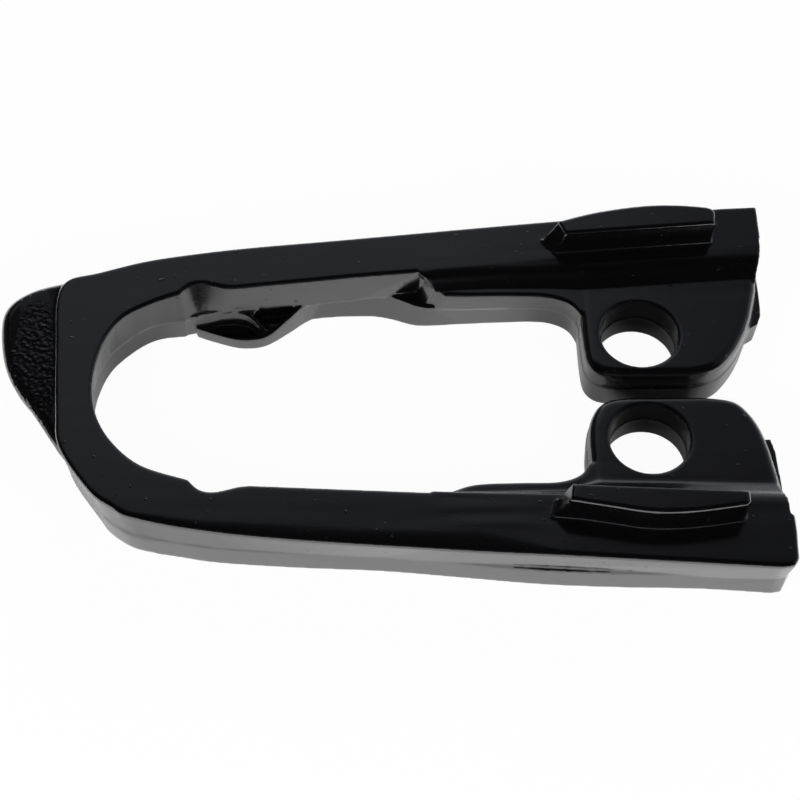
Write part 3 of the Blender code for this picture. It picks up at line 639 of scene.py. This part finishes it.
rubber = {
    "colour": "#060607", "roughness": 0.2, "ior": 1.9, "coatRoughness": 0.13, "coatIor": 1.8,
    "grainSize": 0.55, "grainDetail": 3.0, "grainDepth": 0.012,
    "speckSize": 1.7, "speckDetail": 1.0, "speckDepth": 0.09, "speckRange": (0.73, 0.8),
}


def mouldedUrethane():    # cast polyurethane: near black, a wet-looking skin over a softer gloss, with a faint grain
    material = bpy.data.materials.new("moulded_urethane")
    material.use_nodes = True
    tree = material.node_tree
    shader = tree.nodes["Principled BSDF"]
    shader.inputs["Base Color"].default_value = linear(rubber["colour"])
    shader.inputs["IOR"].default_value = rubber["ior"]
    shader.inputs["Roughness"].default_value = rubber["roughness"]
    shader.inputs["Coat Weight"].default_value = 1.0
    shader.inputs["Coat Roughness"].default_value = rubber["coatRoughness"]
    shader.inputs["Coat IOR"].default_value = rubber["coatIor"]
    place = addNode(tree, "ShaderNodeTexCoord")
    grain = addNode(tree, "ShaderNodeTexNoise", inputs={
        "Vector": place.outputs["Object"], "Scale": 1 / (rubber["grainSize"] * mm), "Detail": rubber["grainDetail"]})
    bump = addNode(tree, "ShaderNodeBump", inputs={
        "Height": grain.outputs["Fac"], "Distance": rubber["grainDepth"] * mm, "Strength": 1.0})
    dust = addNode(tree, "ShaderNodeTexNoise", inputs={
        "Vector": place.outputs["Object"], "Scale": 1 / (rubber["speckSize"] * mm), "Detail": rubber["speckDetail"]})
    least, most = rubber["speckRange"]
    dust = addNode(tree, "ShaderNodeMapRange", {"interpolation_type": "SMOOTHSTEP"}, {
        "Value": dust.outputs["Fac"], "From Min": least, "From Max": most})
    bump = addNode(tree, "ShaderNodeBump", inputs={
        "Height": dust.outputs["Result"], "Distance": rubber["speckDepth"] * mm, "Strength": 1.0,
        "Normal": bump.outputs["Normal"]})
    tree.links.new(bump.outputs["Normal"], shader.inputs["Normal"])
    tree.links.new(bump.outputs["Normal"], shader.inputs["Coat Normal"])
    return material


print("finishing the surface")
slider.data.materials.clear()
slider.data.materials.append(mouldedUrethane())
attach(slider, "root")
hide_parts("chain_slider")


studio = {
    "floor": "#f4f4f4", "floorSize": 6, "floorDrop": 0.0002, "floorGlow": 0.96, "floorInGloss": 0.01,
    "skyTint": (0.94, 0.98, 1.06),
    "sky": [(0.0, 0.7), (0.35, 0.45), (0.62, 0.18), (0.76, 0.115), (0.85, 0.1), (0.88, 0.06), (0.91, 0.01),
            (1.0, 0.004)],    # height, level
    "skyFront": [(0.0, 0.3), (0.12, 0.2), (0.3, 0.03), (0.55, 0.012), (0.8, 0.006), (1.0, 0.004)],
    "frontEnds": (-0.35, 0.15),    # how far round to the sides the dark room behind the camera reaches
    "leftSide": (-0.45, -0.2, 0.06),    # the left of the tent is in shade: from, to, level
    "rightSide": (0.05, 0.2, 0.42),    # and so is its right, less so
    "lamps": [    # place, aim, width, height, watts
        ((-0.95, -0.95, 0.75), (0, 0, 0), 0.8, 0.8, 18.0),
        ((0.95, -0.95, 0.75), (0, 0, 0), 0.8, 0.8, 18.0),
        ((0.2, 1.2, 0.6), (0, 0, 0), 0.8, 0.5, 8.0),
    ],
}


def paperFloor():    # matt white paper, which stays white to the camera round the object's soft shadow
    s = studio
    paint = bpy.data.materials.new("paper_floor")
    paint.use_nodes = True
    tree = paint.node_tree
    tree.nodes.clear()
    rays = addNode(tree, "ShaderNodeLightPath")
    inGloss = addNode(tree, "ShaderNodeMath", {"operation": "MAXIMUM"}, {
        0: rays.outputs["Is Glossy Ray"], 1: rays.outputs["Is Transmission Ray"]})
    inGloss = addNode(tree, "ShaderNodeMath", {"operation": "MULTIPLY"}, {
        0: inGloss.outputs[0], 1: s["floorInGloss"]})
    glow = addNode(tree, "ShaderNodeMath", {"operation": "MULTIPLY_ADD"}, {
        0: rays.outputs["Is Camera Ray"], 1: s["floorGlow"], 2: inGloss.outputs[0]})
    matt = addNode(tree, "ShaderNodeBsdfDiffuse", inputs={"Color": linear(s["floor"])})
    white = addNode(tree, "ShaderNodeEmission", inputs={"Color": (1, 1, 1, 1), "Strength": 1.0})
    mix = addNode(tree, "ShaderNodeMixShader", inputs={
        0: glow.outputs[0], 1: matt.outputs[0], 2: white.outputs[0]})
    addNode(tree, "ShaderNodeOutputMaterial", inputs={"Surface": mix.outputs[0]})
    return paint


def studioSky():    # a white tent, open above and towards the camera
    s = studio
    first, second, mixed = 6, 7, 2    # a colour mix's sockets
    world = bpy.data.worlds.new("studio")
    bpy.context.scene.world = world
    world.use_nodes = True
    tree = world.node_tree
    place = addNode(tree, "ShaderNodeTexCoord")
    way = addNode(tree, "ShaderNodeSeparateXYZ", inputs={"Vector": place.outputs["Generated"]})
    ramps = []
    for stops in (s["skyFront"], s["sky"]):
        height = addNode(tree, "ShaderNodeValToRGB", inputs={"Fac": way.outputs["Z"]})
        ramp = height.color_ramp
        for i, (position, level) in enumerate(stops):
            stop = ramp.elements[i] if i < 2 else ramp.elements.new(position)
            stop.position, stop.color = position, (*[level * tint for tint in s["skyTint"]], 1)
        ramps.append(height)
    front, back = s["frontEnds"]
    behind = addNode(tree, "ShaderNodeMapRange", {"interpolation_type": "SMOOTHSTEP"}, {
        "Value": way.outputs["Y"], "From Min": front, "From Max": back})
    sky = addNode(tree, "ShaderNodeMix", {"data_type": "RGBA"}, {"Factor": behind.outputs["Result"]})
    for socket, ramp in zip((first, second), ramps):
        tree.links.new(ramp.outputs["Color"], sky.inputs[socket])
    left, middle, level = s["leftSide"]
    aside = addNode(tree, "ShaderNodeMapRange", {"interpolation_type": "SMOOTHSTEP"}, {
        "Value": way.outputs["X"], "From Min": left, "From Max": middle, "To Min": level, "To Max": 1.0})
    middle, right, level = s["rightSide"]
    other = addNode(tree, "ShaderNodeMapRange", {"interpolation_type": "SMOOTHSTEP"}, {
        "Value": way.outputs["X"], "From Min": middle, "From Max": right, "To Min": 1.0, "To Max": level})
    aside = addNode(tree, "ShaderNodeMath", {"operation": "MULTIPLY"}, {
        0: aside.outputs["Result"], 1: other.outputs["Result"]})
    lit = addNode(tree, "ShaderNodeVectorMath", {"operation": "SCALE"}, {
        "Vector": sky.outputs[mixed], "Scale": aside.outputs[0]})
    rays = addNode(tree, "ShaderNodeLightPath")
    air = addNode(tree, "ShaderNodeMix", {"data_type": "RGBA"}, {"Factor": rays.outputs["Is Camera Ray"]})
    tree.links.new(lit.outputs[0], air.inputs[first])
    air.inputs[second].default_value = (1, 1, 1, 1)
    tree.links.new(air.outputs[mixed], tree.nodes["Background"].inputs["Color"])
    tree.nodes["Background"].inputs["Strength"].default_value = 1.0


def stageAndLight():
    objectMode()
    bpy.ops.mesh.primitive_plane_add(size=studio["floorSize"], location=(0, 0, -studio["floorDrop"]))
    floor = bpy.context.object
    floor.name = "floor"
    floor.data.materials.append(paperFloor())
    studioSky()
    for i, (place, aim, width, height, watts) in enumerate(studio["lamps"]):
        objectMode()
        bpy.ops.object.light_add(type="AREA", location=place)
        lamp = bpy.context.object
        lamp.name = f"softbox{i}"
        lamp.data.shape = "RECTANGLE"
        lamp.data.size, lamp.data.size_y, lamp.data.energy = width, height, watts
        lamp.visible_glossy = False    # lights the paper without a hard glint on the black gloss
        lamp.rotation_euler = (Vector(place) - Vector(aim)).to_track_quat("Z", "Y").to_euler()


view = {
    "focalPixels": 1814.8, "width": 800, "sensor": 36, "nearest": 0.01, "elevation": 57.19, "azimuth": -0.65,
    "holes": (68.72, -4.29, 509.59),    # where the point between the ears lies from the camera, in mm
}


def camera():    # the photograph's angle
    e, a = math.radians(view["elevation"]), math.radians(view["azimuth"])
    back = Vector((math.sin(a) * math.cos(e), -math.cos(a) * math.cos(e), math.sin(e)))
    right = (-back).cross(Vector((0, 0, 1))).normalized()
    up = right.cross(-back).normalized()
    x, y, z = view["holes"]
    place = (-(right * x - up * y - back * z) + Vector((0, 0, moulding["earTop"]))) * mm + planToRow
    objectMode()
    bpy.ops.object.camera_add()
    cam = bpy.context.object
    cam.data.sensor_width = view["sensor"]
    cam.data.lens = view["focalPixels"] / view["width"] * view["sensor"]
    cam.data.clip_start = view["nearest"]
    cam.matrix_world = Matrix.Translation(place) @ Matrix((right, up, back)).transposed().to_4x4()
    bpy.context.scene.camera = cam


print("setting the studio and the camera")
stageAndLight()
camera()
bpy.context.scene.view_settings.view_transform = "Standard"
